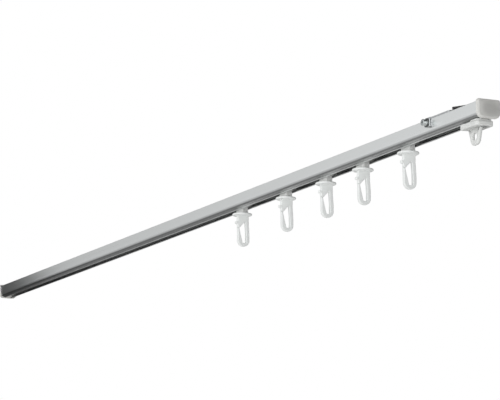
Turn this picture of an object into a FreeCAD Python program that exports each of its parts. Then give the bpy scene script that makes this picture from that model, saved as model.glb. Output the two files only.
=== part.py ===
import FreeCAD
import Part
import math
import os

# Ceiling curtain track with five gliders, built in millimetres.
# X runs along the rail towards the end with the end stop, Y runs from the room side to the
# window side, Z points up. The origin is the ceiling face of the bracket on its screw axis,
# so every height below the ceiling is negative.

# Rail section
rail_width = 21.0
rail_height = 14.0
rail_length = 1180.0
rail_wall = 1.3
rail_corner_radius = 5.2
rail_top_corner_radius = 0.5
rail_inner_radius = 0.8
groove_lip_thickness = 1.2
groove_mouth = 9.6
groove_width = 14.6
groove_depth = 1.9
web_thickness = 1.2
slot_width = 8.6
lip_thickness = 1.3
bead_radius = 0.75
bead_drop = 0.35

# Bracket on the ceiling
bracket_to_rail_end = 57.0
bracket_plate_thickness = 1.4
bracket_boss_rise = 2.0
bracket_length_left = 31.0
bracket_length_right = 33.0
bracket_width = 20.6
bracket_end_radius = 3.0
bracket_shoulder = 10.0
bracket_neck_width = 10.6
bracket_shoulder_radius = 1.0
boss_top_radius = 5.6
boss_foot_radius = 7.2
ceiling_hole_radius = 2.25

# Clamp tab and screw at the front of the bracket
clamp_position = -25.0
clamp_tab_width = 8.0
clamp_tab_gap = 0.35
clamp_tab_drop = 7.0
clamp_axis_drop = 3.4
clamp_shank_radius = 1.5
clamp_head_radius = 3.0
clamp_head_length = 3.9
clamp_head_edge = 0.5
clamp_collar_radius = 4.1
clamp_collar_thickness = 1.0
clamp_cross_width = 0.9
clamp_cross_length = 4.0
clamp_cross_depth = 1.6
clamp_tip_gap = 0.12

# Foot that hooks into the groove of the rail
foot_position = -14.0
foot_length = 12.0
foot_clearance = 0.15
foot_rivet_radius = 1.25
foot_rivet_head_radius = 2.3
foot_rivet_head_height = 0.8
foot_rivet_head_edge = 0.56
foot_rivet_pitch = 6.0

# Locking lever and its cam
lever_position = 25.0
lever_thickness = 1.6
lever_gap = 0.15
lever_hub_radius = 4.4
lever_root_inset = 0.44
lever_reach = 14.2
lever_tip_width = 4.2
lever_tip_radius = 1.6
lever_tip_length = 2.5
lever_tip_drop = 1.15
lever_turn = 218.0
cam_shaft_radius = 2.0
cam_long = 13.8
cam_short = 8.4
cam_end_flat = 0.84
cam_top_clearance = 0.2
cam_thickness = 1.3
pin_clearance = 0.05

# End caps
cap_overhang = 1.0
cap_length = 5.0
cap_corner_radius = 5.2
cap_top_corner_radius = 1.9
cap_edge_radius = 1.7
cap_plug_depth = 4.2
cap_plug_wall = 1.4
cap_plug_clearance = 0.12
cap_slot_key_drop = 0.9

# End stop with its eyelet
stop_left = 25.4
stop_right = 54.0
stop_width = 17.4
stop_plate_top_drop = 1.7
stop_plate_thickness = 4.4
stop_plate_radius = 1.6
stop_lower_edge_radius = 1.2
stop_right_radius = 3.0
stop_pad_length = 5.0
stop_pad_rise = 1.0
stop_saddle_left = 42.0
stop_saddle_back_inset = 1.5
stop_rail_gap = 0.1
stop_neck_left = 42.0
stop_neck_right = 52.0
stop_neck_clearance = 0.3
eyelet_position = 37.6
eyelet_thickness = 3.2
eyelet_top_width = 21.4
eyelet_bottom_radius = 5.6
eyelet_bottom_flat = 0.4
eyelet_drop = 14.5
eyelet_hole_width = 7.6
eyelet_hole_top = 3.2
eyelet_hole_top_radius = 3.0
eyelet_hole_taper = 0.76
eyelet_hole_bottom_radius = 2.6
eyelet_hole_bottom_wall = 3.4
eyelet_edge_radius = 1.1
stop_nut_left = 40.0
stop_nut_right = 52.0
stop_nut_thickness = 5.2
stop_nut_side_clearance = 0.4
stop_nut_lift = 0.05
stop_screw_radius = 1.25
stop_screw_head_radius = 2.3
stop_screw_head_depth = 1.6
stop_screw_position = 49.6
stop_screw_length = 8.4

# Gliders
glider_from_end = (137.5, 223.7, 298.4, 384.3, 484.7)
runner_head_length = 16.0
runner_head_side_clearance = 0.7
runner_head_thickness = 4.6
runner_head_radius = 3.0
runner_head_edge = 0.6
runner_head_corner_ease = 0.8
runner_lift = 0.15
runner_neck_length = 15.6
runner_neck_side_clearance = 1.0
runner_neck_drop = 4.4
runner_neck_edge = 0.9
runner_neck_foot_edge = 0.54
stem_radius = 1.9
stem_clearance = 0.06
stem_head_radius = 2.9
stem_head_height = 1.2
stem_head_gap = 0.2
stem_recess_radius = 3.6
stem_recess_depth = 1.9
collar_gap = 0.2
collar_radius = 10.2
collar_thickness = 2.6
collar_edge = 1.0

# Hook below the collar, drawn across the rail as seen along X
hook_thickness = 3.8
hook_edge_radius = 0.8
hook_lean = 1.15
hook_body_left = 5.9
hook_body_right = 6.9
hook_body_drop = 8.0
hook_half_width = 6.55
hook_bottom_flat = 0.2
hook_widest_drop = 19.0
hook_bottom_drop = 31.8
hook_leg_width = 3.8
hook_leg_bow_radius = 12.0
hook_tongue_drop = 13.0
hook_tongue_outer = -5.6
hook_tongue_inner = -3.6
hook_nub_reach = 2.1
hook_nub_height = 2.7
hook_nub_radius = 1.1
hook_nub_root_radius = 0.45
hook_snap_gap = 0.35
hook_snap_angle = -25.0
hook_snap_rise = 0.7
hook_hole_top_drop = 6.2
hook_hole_top_right = 2.9
hook_hole_left = -2.1
hook_hole_bottom_left = 0.4
hook_hole_corner_radius = 1.1
hook_hole_bottom_radius = 1.25
hook_hole_bottom_wall = 3.7

# Overlap of a cutting tool past the face it cuts, and how closely edges are matched
cut_margin = 1.0
match_tolerance = 0.001
join_tolerance = 0.000001

PARTS = "parts"
os.makedirs(PARTS, exist_ok=True)

rail_top = -(bracket_boss_rise + bracket_plate_thickness)
rail_bottom = rail_top - rail_height
rail_near = bracket_to_rail_end
rail_far = rail_near - rail_length
half_width = rail_width / 2
channel_half = half_width - rail_wall
channel_ceiling = rail_top - groove_lip_thickness - groove_depth - web_thickness
lip_top = rail_bottom + lip_thickness
slot_half = slot_width / 2
UP = FreeCAD.Vector(0, 0, 1)
ALONG = FreeCAD.Vector(1, 0, 0)
ACROSS = FreeCAD.Vector(0, 1, 0)


def vec(x, y, z):
    return FreeCAD.Vector(x, y, z)


def save(shape, name):
    shape = shape.removeSplitter()
    shape.exportStep(PARTS + "/" + name + ".step")


# Closed outline with a rounding at each corner, points given as (a, b, radius)
def rounded_outline(corners, place):
    count = len(corners)
    starts = []
    ends = []
    middles = []
    for index in range(count):
        a, b, radius = corners[index]
        before = corners[index - 1]
        after = corners[(index + 1) % count]
        corner = FreeCAD.Vector(a, b, 0)
        to_before = (FreeCAD.Vector(before[0], before[1], 0) - corner).normalize()
        to_after = (FreeCAD.Vector(after[0], after[1], 0) - corner).normalize()
        if radius <= 0:
            starts.append(corner)
            ends.append(corner)
            middles.append(None)
            continue
        opening = to_before.getAngle(to_after)
        setback = radius / math.tan(opening / 2)
        centre = corner + (to_before + to_after).normalize() * (radius / math.sin(opening / 2))
        starts.append(corner + to_before * setback)
        ends.append(corner + to_after * setback)
        middles.append(centre + (corner - centre).normalize() * radius)
    edges = []
    for index in range(count):
        start = starts[index]
        end = ends[index]
        if middles[index] is not None:
            arc = Part.Arc(place(start), place(middles[index]), place(end))
            edges.append(arc.toShape())
        following = starts[(index + 1) % count]
        if (following - end).Length > join_tolerance:
            edges.append(Part.makeLine(place(end), place(following)))
    return Part.Wire(edges)


def across_face(corners, x=0.0):
    return Part.Face(rounded_outline(corners, lambda p: vec(x, p.x, p.y)))


def plan_solid(corners, bottom, height):
    face = Part.Face(rounded_outline(corners, lambda p: vec(p.x, p.y, bottom)))
    return face.extrude(UP * height)


def side_face(corners, y=0.0):
    return Part.Face(rounded_outline(corners, lambda p: vec(p.x, y, p.y)))


def box_between(low, high):
    size = vec(high[0] - low[0], high[1] - low[1], high[2] - low[2])
    return Part.makeBox(size.x, size.y, size.z, vec(low[0], low[1], low[2]))


def upright(radius, bottom, top, x, y=0.0):
    return Part.makeCylinder(radius, top - bottom, vec(x, y, bottom), UP)


# Cutting cylinder that passes both faces of the solid it bores
def bore_through(radius, bottom, top, x):
    return upright(radius, bottom - cut_margin, top + cut_margin, x)


def edges_where(shape, test):
    chosen = []
    for edge in shape.Edges:
        if test(edge):
            chosen.append(edge)
    return chosen


def edge_span(edge, axis):
    box = edge.BoundBox
    spans = {"x": (box.XMin, box.XMax), "y": (box.YMin, box.YMax), "z": (box.ZMin, box.ZMax)}
    return spans[axis]


def edge_lies_at(edge, axis, value, within=match_tolerance):
    low, high = edge_span(edge, axis)
    return abs(low - value) < within and abs(high - value) < within


# Aluminium rail, one extruded section
def rail_section():
    outline = [
        (-half_width, rail_top, rail_top_corner_radius),
        (-groove_mouth / 2, rail_top, 0.0),
        (-groove_mouth / 2, rail_top - groove_lip_thickness, 0.0),
        (-groove_width / 2, rail_top - groove_lip_thickness, 0.0),
        (-groove_width / 2, rail_top - groove_lip_thickness - groove_depth, 0.0),
        (groove_width / 2, rail_top - groove_lip_thickness - groove_depth, 0.0),
        (groove_width / 2, rail_top - groove_lip_thickness, 0.0),
        (groove_mouth / 2, rail_top - groove_lip_thickness, 0.0),
        (groove_mouth / 2, rail_top, 0.0),
        (half_width, rail_top, rail_top_corner_radius),
        (half_width, rail_bottom, rail_corner_radius),
        (slot_half, rail_bottom, 0.0),
        (slot_half, lip_top, 0.0),
        (channel_half, lip_top, rail_corner_radius - rail_wall),
        (channel_half, channel_ceiling, rail_inner_radius),
        (-channel_half, channel_ceiling, rail_inner_radius),
        (-channel_half, lip_top, rail_corner_radius - rail_wall),
        (-slot_half, lip_top, 0.0),
        (-slot_half, rail_bottom, 0.0),
        (-half_width, rail_bottom, rail_corner_radius),
    ]
    return across_face(outline, rail_far)


rail = rail_section().extrude(ALONG * rail_length)
for side in (-1, 1):
    bead_y = side * (slot_half + bead_radius)
    bead_z = rail_bottom - bead_drop + bead_radius
    bead = Part.makeCylinder(bead_radius, rail_length, vec(rail_far, bead_y, bead_z), ALONG)
    rail = rail.fuse(bead)
save(rail, "track_rail")


# End cap, a soft block that covers the rail end and plugs into the channel
def end_cap():
    top = rail_top + cap_overhang
    bottom = rail_bottom - cap_overhang
    side = half_width + cap_overhang
    corners = [
        (-side, top, cap_top_corner_radius),
        (side, top, cap_top_corner_radius),
        (side, bottom, cap_corner_radius),
        (-side, bottom, cap_corner_radius),
    ]
    block = across_face(corners).extrude(ALONG * cap_length)
    rim = edges_where(block, lambda edge: edge_lies_at(edge, "x", cap_length))
    block = block.makeFillet(cap_edge_radius, rim)
    plug_side = channel_half - cap_plug_clearance
    plug_top = channel_ceiling - cap_plug_clearance
    plug_bottom = lip_top + cap_plug_clearance
    plug_radius = rail_corner_radius - rail_wall
    plug_corners = [
        (-plug_side, plug_top, rail_inner_radius),
        (plug_side, plug_top, rail_inner_radius),
        (plug_side, plug_bottom, plug_radius),
        (-plug_side, plug_bottom, plug_radius),
    ]
    plug = across_face(plug_corners).extrude(ALONG * -cap_plug_depth)
    hollow_side = plug_side - cap_plug_wall
    hollow_corners = [
        (-hollow_side, plug_top - cap_plug_wall, rail_inner_radius),
        (hollow_side, plug_top - cap_plug_wall, rail_inner_radius),
        (hollow_side, plug_bottom + cap_plug_wall, rail_inner_radius),
        (-hollow_side, plug_bottom + cap_plug_wall, rail_inner_radius),
    ]
    hollow = across_face(hollow_corners, -cap_plug_depth).extrude(ALONG * (cap_plug_depth - cap_plug_wall))
    key_half = slot_half - cap_plug_clearance
    key = box_between(
        (-cap_plug_depth, -key_half, plug_bottom - cap_slot_key_drop),
        (0, key_half, plug_bottom + cap_plug_wall),
    )
    return block.fuse([plug.cut(hollow), key])


near_cap = end_cap()
near_cap.translate(vec(rail_near, 0, 0))
save(near_cap, "end_cap_near")
far_cap = end_cap()
far_cap.rotate(vec(0, 0, 0), UP, 180)
far_cap.translate(vec(rail_far, 0, 0))
save(far_cap, "end_cap_far")


# Pressed steel plate with the ceiling boss and the front tab
def bracket_plate():
    plate_top = rail_top + bracket_plate_thickness
    half = bracket_width / 2
    neck_half = bracket_neck_width / 2
    plate = plan_solid(
        [
            (-bracket_length_left, -half, bracket_end_radius),
            (bracket_shoulder, -half, bracket_shoulder_radius),
            (bracket_shoulder, -neck_half, bracket_shoulder_radius),
            (bracket_length_right, -neck_half, bracket_end_radius),
            (bracket_length_right, neck_half, bracket_end_radius),
            (bracket_shoulder, neck_half, bracket_shoulder_radius),
            (bracket_shoulder, half, bracket_shoulder_radius),
            (-bracket_length_left, half, bracket_end_radius),
        ],
        rail_top,
        bracket_plate_thickness,
    )
    boss = Part.makeCone(boss_foot_radius, boss_top_radius, bracket_boss_rise, vec(0, 0, plate_top), UP)
    cavity = Part.makeCone(
        boss_foot_radius - bracket_plate_thickness,
        boss_top_radius - bracket_plate_thickness,
        bracket_boss_rise,
        vec(0, 0, rail_top),
        UP,
    )
    tab_outer = -half_width - clamp_tab_gap - bracket_plate_thickness
    tab_low = clamp_position - clamp_tab_width / 2
    tab_high = clamp_position + clamp_tab_width / 2
    strip = box_between((tab_low, tab_outer, rail_top), (tab_high, -half + bracket_end_radius, plate_top))
    fold = box_between(
        (tab_low, tab_outer, rail_top - clamp_tab_drop),
        (tab_high, tab_outer + bracket_plate_thickness, plate_top),
    )
    tab = strip.fuse(fold).removeSplitter()
    bend = edges_where(
        tab,
        lambda edge: edge_lies_at(edge, "y", tab_outer) and edge_lies_at(edge, "z", plate_top),
    )
    tab = tab.makeFillet(bracket_plate_thickness, bend)
    lower_corners = edges_where(
        tab,
        lambda edge: edge_span(edge, "z")[1] < rail_top - clamp_tab_drop + match_tolerance
        and edge_span(edge, "y")[1] - edge_span(edge, "y")[0] > bracket_plate_thickness / 2,
    )
    tab = tab.makeFillet(bracket_end_radius, lower_corners)
    plate = plate.fuse([boss, tab]).cut(cavity)
    hole = upright(ceiling_hole_radius, rail_top, 0, 0)
    screw_bore = Part.makeCylinder(
        clamp_shank_radius + pin_clearance,
        2 * bracket_plate_thickness,
        vec(clamp_position, tab_outer - bracket_plate_thickness / 2, rail_top - clamp_axis_drop),
        ACROSS,
    )
    cam_bore = bore_through(cam_shaft_radius + pin_clearance, rail_top, plate_top, lever_position)
    plate = plate.cut(hole.fuse([screw_bore, cam_bore]))
    for offset in (-foot_rivet_pitch / 2, foot_rivet_pitch / 2):
        plate = plate.cut(bore_through(foot_rivet_radius, rail_top, plate_top, foot_position + offset))
    return plate


save(bracket_plate(), "bracket_plate")


# Foot under the plate, hooked below the groove lips of the rail
def bracket_foot():
    low = foot_position - foot_length / 2
    high = foot_position + foot_length / 2
    mouth = groove_mouth / 2 - foot_clearance
    wing = groove_width / 2 - foot_clearance
    under_lip = rail_top - groove_lip_thickness - foot_clearance
    floor = rail_top - groove_lip_thickness - groove_depth + foot_clearance
    stalk = box_between((low, -mouth, floor), (high, mouth, rail_top))
    wings = box_between((low, -wing, floor), (high, wing, under_lip))
    foot = stalk.fuse(wings)
    for offset in (-foot_rivet_pitch / 2, foot_rivet_pitch / 2):
        foot = foot.cut(bore_through(foot_rivet_radius, floor, rail_top, foot_position + offset))
    return foot


save(bracket_foot(), "bracket_foot")


def foot_rivets():
    plate_top = rail_top + bracket_plate_thickness
    floor = rail_top - groove_lip_thickness - groove_depth + foot_clearance
    rivets = []
    for offset in (-foot_rivet_pitch / 2, foot_rivet_pitch / 2):
        shank = upright(foot_rivet_radius, floor, plate_top, foot_position + offset)
        head = upright(
            foot_rivet_head_radius,
            plate_top,
            plate_top + foot_rivet_head_height,
            foot_position + offset,
        )
        rim = edges_where(head, lambda edge: edge_lies_at(edge, "z", plate_top + foot_rivet_head_height))
        head = head.makeFillet(foot_rivet_head_edge, rim)
        rivets.append(shank.fuse(head).removeSplitter())
    return Part.makeCompound(rivets)


foot_rivets().exportStep(PARTS + "/foot_rivets.step")


# Clamp screw through the front tab, its head towards the room
def clamp_screw():
    tab_outer = -half_width - clamp_tab_gap - bracket_plate_thickness
    axis_z = rail_top - clamp_axis_drop
    tip_y = -half_width - clamp_tip_gap
    shank = Part.makeCylinder(
        clamp_shank_radius,
        tip_y - tab_outer + clamp_collar_thickness,
        vec(clamp_position, tab_outer - clamp_collar_thickness, axis_z),
        ACROSS,
    )
    collar = Part.makeCylinder(
        clamp_collar_radius,
        clamp_collar_thickness,
        vec(clamp_position, tab_outer - clamp_collar_thickness, axis_z),
        ACROSS,
    )
    head_face = tab_outer - clamp_collar_thickness - clamp_head_length
    head = Part.makeCylinder(
        clamp_head_radius,
        clamp_head_length,
        vec(clamp_position, head_face, axis_z),
        ACROSS,
    )
    rim = edges_where(head, lambda edge: edge_lies_at(edge, "y", head_face))
    head = head.makeFillet(clamp_head_edge, rim)
    half_long = clamp_cross_length / 2
    half_wide = clamp_cross_width / 2
    flat_bar = box_between(
        (clamp_position - half_long, head_face - cut_margin, axis_z - half_wide),
        (clamp_position + half_long, head_face + clamp_cross_depth, axis_z + half_wide),
    )
    tall_bar = box_between(
        (clamp_position - half_wide, head_face - cut_margin, axis_z - half_long),
        (clamp_position + half_wide, head_face + clamp_cross_depth, axis_z + half_long),
    )
    screw = shank.fuse([collar, head]).cut(flat_bar.fuse(tall_bar))
    return screw


screw = clamp_screw()
screw.translate(vec(0, -pin_clearance, 0))
save(screw, "clamp_screw")


# Black locking lever above the plate, keyed to the cam below it
def bracket_lever():
    bottom = rail_top + bracket_plate_thickness + lever_gap
    hub = upright(lever_hub_radius, bottom, bottom + lever_thickness, 0)
    arm_start = lever_hub_radius - lever_root_inset
    arm = plan_solid(
        [
            (0, -arm_start, 0.0),
            (lever_reach, -lever_tip_width / 2, lever_tip_radius),
            (lever_reach, lever_tip_width / 2, lever_tip_radius),
            (0, arm_start, 0.0),
        ],
        bottom,
        lever_thickness,
    )
    pad = plan_solid(
        [
            (lever_reach - lever_tip_length, -lever_tip_width / 2, 0.0),
            (lever_reach, -lever_tip_width / 2, lever_tip_radius),
            (lever_reach, lever_tip_width / 2, lever_tip_radius),
            (lever_reach - lever_tip_length, lever_tip_width / 2, 0.0),
        ],
        bottom - lever_tip_drop,
        lever_thickness + lever_tip_drop,
    )
    lever = hub.fuse([arm, pad])
    lever = lever.cut(bore_through(cam_shaft_radius, bottom, bottom + lever_thickness, 0))
    lever.rotate(vec(0, 0, 0), UP, lever_turn)
    lever.translate(vec(lever_position, 0, 0))
    return lever


save(bracket_lever(), "bracket_lever")


def lever_cam():
    lever_top = rail_top + bracket_plate_thickness + lever_gap + lever_thickness
    cam_top = rail_top - groove_lip_thickness - cam_top_clearance
    half_long = cam_long / 2
    half_short = cam_short / 2
    end_radius = half_short - cam_end_flat
    cam = plan_solid(
        [
            (-half_short, -half_long, end_radius),
            (half_short, -half_long, end_radius),
            (half_short, half_long, end_radius),
            (-half_short, half_long, end_radius),
        ],
        cam_top - cam_thickness,
        cam_thickness,
    )
    shaft = upright(cam_shaft_radius, cam_top - cam_thickness, lever_top, 0)
    key = cam.fuse(shaft)
    key.translate(vec(lever_position, 0, 0))
    return key


save(lever_cam(), "lever_cam")


# End stop below the rail with its eyelet for the curtain edge
def stop_bodywork():
    plate_top = rail_bottom - stop_plate_top_drop
    plate_bottom = plate_top - stop_plate_thickness
    half = stop_width / 2
    plate = plan_solid(
        [
            (stop_left, -half, stop_plate_radius),
            (stop_right, -half, stop_right_radius),
            (stop_right, half, stop_right_radius),
            (stop_left, half, stop_plate_radius),
        ],
        plate_bottom,
        stop_plate_thickness,
    )
    lower_rim = edges_where(plate, lambda edge: edge_lies_at(edge, "z", plate_bottom))
    plate = plate.makeFillet(stop_lower_edge_radius, lower_rim)
    underside = rail_bottom - bead_drop - stop_rail_gap
    saddle_back = half - stop_saddle_back_inset
    saddle = plan_solid(
        [
            (stop_saddle_left, -half, stop_plate_radius),
            (stop_right, -half, stop_right_radius),
            (stop_right, saddle_back, stop_right_radius),
            (stop_saddle_left, saddle_back, stop_plate_radius),
        ],
        plate_top - stop_plate_radius,
        underside - plate_top + stop_plate_radius,
    )
    pad = box_between(
        (stop_left + stop_plate_radius, -half + stop_plate_radius, plate_top - stop_plate_radius),
        (stop_left + stop_pad_length, half - stop_plate_radius, plate_top + stop_pad_rise),
    )
    neck_half = slot_half - stop_neck_clearance
    neck = box_between(
        (stop_neck_left, -neck_half, plate_top - stop_plate_radius),
        (stop_neck_right, neck_half, lip_top),
    )
    tongue_radius = eyelet_bottom_radius - eyelet_bottom_flat
    eyelet_corners = [
        (eyelet_position - eyelet_top_width / 2, plate_bottom + stop_plate_radius, 0.0),
        (eyelet_position + eyelet_top_width / 2, plate_bottom + stop_plate_radius, 0.0),
        (eyelet_position + eyelet_bottom_radius, plate_bottom - eyelet_drop, tongue_radius),
        (eyelet_position - eyelet_bottom_radius, plate_bottom - eyelet_drop, tongue_radius),
    ]
    eyelet_shape = side_face(eyelet_corners, -eyelet_thickness / 2).extrude(ACROSS * eyelet_thickness)
    hole_half = eyelet_hole_width / 2
    hole_low_half = hole_half - eyelet_hole_taper
    hole_low = plate_bottom - eyelet_drop + eyelet_hole_bottom_wall
    hole_corners = [
        (eyelet_position - hole_half, plate_bottom - eyelet_hole_top, eyelet_hole_top_radius),
        (eyelet_position + hole_half, plate_bottom - eyelet_hole_top, eyelet_hole_top_radius),
        (eyelet_position + hole_low_half, hole_low, eyelet_hole_bottom_radius),
        (eyelet_position - hole_low_half, hole_low, eyelet_hole_bottom_radius),
    ]
    hole = side_face(hole_corners, -eyelet_thickness).extrude(ACROSS * (2 * eyelet_thickness))
    eyelet_shape = eyelet_shape.cut(hole)
    face_y = eyelet_thickness / 2
    soft = edges_where(
        eyelet_shape,
        lambda edge: (edge_lies_at(edge, "y", -face_y) or edge_lies_at(edge, "y", face_y))
        and edge_span(edge, "z")[0] < plate_bottom,
    )
    eyelet_shape = eyelet_shape.makeFillet(eyelet_edge_radius, soft)
    body = plate.fuse([saddle, pad, neck, eyelet_shape])
    bore = bore_through(stop_screw_radius, plate_bottom, lip_top, stop_screw_position)
    head_seat = upright(
        stop_screw_head_radius,
        plate_bottom - cut_margin,
        plate_bottom + stop_screw_head_depth,
        stop_screw_position,
    )
    return body.cut(bore.fuse(head_seat))


save(stop_bodywork(), "end_stop_body")


def stop_nut():
    bottom = lip_top + stop_nut_lift
    half = channel_half - stop_nut_side_clearance
    chamfer = rail_corner_radius - rail_wall
    corners = [
        (-half, bottom + stop_nut_thickness, rail_inner_radius),
        (half, bottom + stop_nut_thickness, rail_inner_radius),
        (half, bottom, chamfer),
        (-half, bottom, chamfer),
    ]
    nut = across_face(corners, stop_nut_left).extrude(ALONG * (stop_nut_right - stop_nut_left))
    return nut.cut(bore_through(stop_screw_radius, bottom, bottom + stop_nut_thickness, stop_screw_position))


save(stop_nut(), "end_stop_nut")


def stop_screw():
    plate_bottom = rail_bottom - stop_plate_top_drop - stop_plate_thickness
    seat = plate_bottom + stop_screw_head_depth
    shank = upright(stop_screw_radius, seat, seat + stop_screw_length, stop_screw_position)
    head = upright(stop_screw_head_radius, plate_bottom, seat, stop_screw_position)
    half_long = clamp_cross_length / 2
    half_wide = clamp_cross_width / 2
    first = box_between(
        (stop_screw_position - half_long, -half_wide, plate_bottom - cut_margin),
        (stop_screw_position + half_long, half_wide, plate_bottom + clamp_cross_width),
    )
    second = box_between(
        (stop_screw_position - half_wide, -half_long, plate_bottom - cut_margin),
        (stop_screw_position + half_wide, half_long, plate_bottom + clamp_cross_width),
    )
    return shank.fuse(head).cut(first.fuse(second))


save(stop_screw(), "end_stop_screw")

# Heights shared by the runner and its hook
head_bottom = lip_top + runner_lift
head_top = head_bottom + runner_head_thickness
neck_bottom = rail_bottom - runner_neck_drop
collar_top = neck_bottom - collar_gap
collar_bottom = collar_top - collar_thickness


# Runner, its head inside the channel and its neck through the slot
def runner():
    half = channel_half - runner_head_side_clearance
    half_long = runner_head_length / 2
    head = plan_solid(
        [
            (-half_long, -half, runner_head_radius),
            (half_long, -half, runner_head_radius),
            (half_long, half, runner_head_radius),
            (-half_long, half, runner_head_radius),
        ],
        head_bottom,
        runner_head_thickness,
    )
    top_rim = edges_where(head, lambda edge: edge_lies_at(edge, "z", head_top))
    head = head.makeFillet(runner_head_edge, top_rim)
    bottom_rim = edges_where(head, lambda edge: edge_lies_at(edge, "z", head_bottom))
    free_corner = rail_corner_radius - rail_wall - runner_head_side_clearance
    head = head.makeChamfer(free_corner - runner_head_corner_ease, bottom_rim)
    neck_half = slot_half - runner_neck_side_clearance
    neck = box_between(
        (-runner_neck_length / 2, -neck_half, neck_bottom),
        (runner_neck_length / 2, neck_half, head_bottom + runner_head_thickness / 2),
    )
    upright_edges = edges_where(
        neck,
        lambda edge: edge_span(edge, "z")[1] - edge_span(edge, "z")[0] > runner_neck_drop,
    )
    neck = neck.makeFillet(runner_neck_edge, upright_edges)
    foot_rim = edges_where(neck, lambda edge: edge_lies_at(edge, "z", neck_bottom))
    neck = neck.makeFillet(runner_neck_foot_edge, foot_rim)
    body = head.fuse(neck)
    bore = bore_through(stem_radius + stem_clearance, neck_bottom, head_top, 0)
    recess = upright(stem_recess_radius, head_top - stem_recess_depth, head_top + cut_margin, 0)
    return body.cut(bore.fuse(recess))


# Outline of the hook as seen along the rail, opening leg on the room side
def hook_outline():
    top = collar_bottom + collar_thickness / 2
    body_low = collar_bottom - hook_body_drop
    tongue_low = collar_bottom - hook_tongue_drop
    bottom = collar_bottom - hook_bottom_drop
    widest = collar_bottom - hook_widest_drop
    nub_top = body_low + hook_nub_height
    right = hook_lean + hook_half_width
    left = hook_lean - hook_half_width
    bottom_radius = hook_half_width - hook_bottom_flat
    return [
        (-hook_body_left, top, 0.0),
        (hook_body_right, top, 0.0),
        (hook_body_right, body_low, hook_leg_bow_radius),
        (right, widest, hook_leg_bow_radius),
        (right, bottom, bottom_radius),
        (left, bottom, bottom_radius),
        (left, widest, hook_leg_bow_radius),
        (hook_tongue_outer, tongue_low, hook_leg_bow_radius / 2),
        (-hook_body_left, body_low - hook_nub_root_radius, hook_nub_root_radius),
        (-hook_body_left - hook_nub_reach, body_low, hook_nub_radius),
        (-hook_body_left - hook_nub_reach, nub_top, hook_nub_radius),
        (-hook_body_left, nub_top, hook_nub_root_radius),
    ]


def hook_hole():
    hole_top = collar_bottom - hook_hole_top_drop
    tongue_low = collar_bottom - hook_tongue_drop
    bottom = collar_bottom - hook_bottom_drop + hook_hole_bottom_wall
    widest = collar_bottom - hook_widest_drop
    right = hook_lean + hook_half_width - hook_leg_width
    return [
        (hook_hole_top_right, hole_top, hook_hole_corner_radius),
        (right, widest, hook_leg_bow_radius),
        (right, bottom, hook_hole_bottom_radius),
        (hook_hole_bottom_left, bottom, hook_hole_bottom_radius),
        (hook_hole_left, widest, hook_leg_bow_radius),
        (hook_tongue_inner, tongue_low, hook_hole_corner_radius),
    ]


def hook():
    half_thick = hook_thickness / 2
    plate = across_face(hook_outline(), -half_thick).extrude(ALONG * hook_thickness)
    hole = across_face(hook_hole(), -hook_thickness).extrude(ALONG * (2 * hook_thickness))
    plate = plate.cut(hole)
    soft = edges_where(
        plate,
        lambda edge: (edge_lies_at(edge, "x", -half_thick) or edge_lies_at(edge, "x", half_thick))
        and edge_span(edge, "z")[0] < collar_bottom + collar_thickness / 4,
    )
    plate = plate.makeFillet(hook_edge_radius, soft)
    snap = box_between(
        (-hook_thickness, -hook_half_width, -hook_snap_gap / 2),
        (hook_thickness, hook_half_width / 2, hook_snap_gap / 2),
    )
    snap.rotate(vec(0, 0, 0), ALONG, hook_snap_angle)
    snap_height = collar_bottom - hook_tongue_drop + hook_snap_rise
    snap.translate(vec(0, (hook_tongue_outer + hook_tongue_inner) / 2, snap_height))
    plate = plate.cut(snap)
    collar = upright(collar_radius, collar_bottom, collar_top, 0)
    rims = edges_where(
        collar,
        lambda edge: edge_lies_at(edge, "z", collar_bottom) or edge_lies_at(edge, "z", collar_top),
    )
    collar = collar.makeFillet(collar_edge, rims)
    stem_top = head_top - stem_recess_depth + stem_head_gap
    stem = upright(stem_radius, collar_top - collar_thickness / 2, stem_top, 0)
    stem_head = Part.makeCone(
        stem_head_radius,
        stem_radius,
        stem_head_height,
        vec(0, 0, stem_top),
        UP,
    )
    return plate.fuse([collar, stem, stem_head])


for number, distance in enumerate(glider_from_end, start=1):
    place = vec(rail_near - distance, 0, 0)
    one_runner = runner()
    one_runner.translate(place)
    save(one_runner, "glider_runner_" + str(number))
    one_hook = hook()
    one_hook.translate(place)
    save(one_hook, "glider_hook_" + str(number))
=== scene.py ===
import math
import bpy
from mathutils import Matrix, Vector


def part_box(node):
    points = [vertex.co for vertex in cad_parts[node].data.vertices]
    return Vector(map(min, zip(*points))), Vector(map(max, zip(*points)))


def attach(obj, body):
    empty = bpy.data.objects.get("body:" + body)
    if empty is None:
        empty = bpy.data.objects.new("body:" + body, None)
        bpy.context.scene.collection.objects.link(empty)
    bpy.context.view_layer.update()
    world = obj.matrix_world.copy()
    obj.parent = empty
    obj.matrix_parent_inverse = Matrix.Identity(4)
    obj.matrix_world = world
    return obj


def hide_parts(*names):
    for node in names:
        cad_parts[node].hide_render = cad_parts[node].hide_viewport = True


bl_info = {
    "name": "Ceiling Curtain Track",
    "version": (1, 0, 0),
    "blender": (4, 5, 0),
    "location": "View3D > Sidebar > Curtain Track",
    "description": "Dresses a ceiling curtain track: rail, end caps, gliders, end stop and bracket",
    "category": "Object",
}

import bmesh
import bpy
from mathutils import Matrix, Vector

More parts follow.
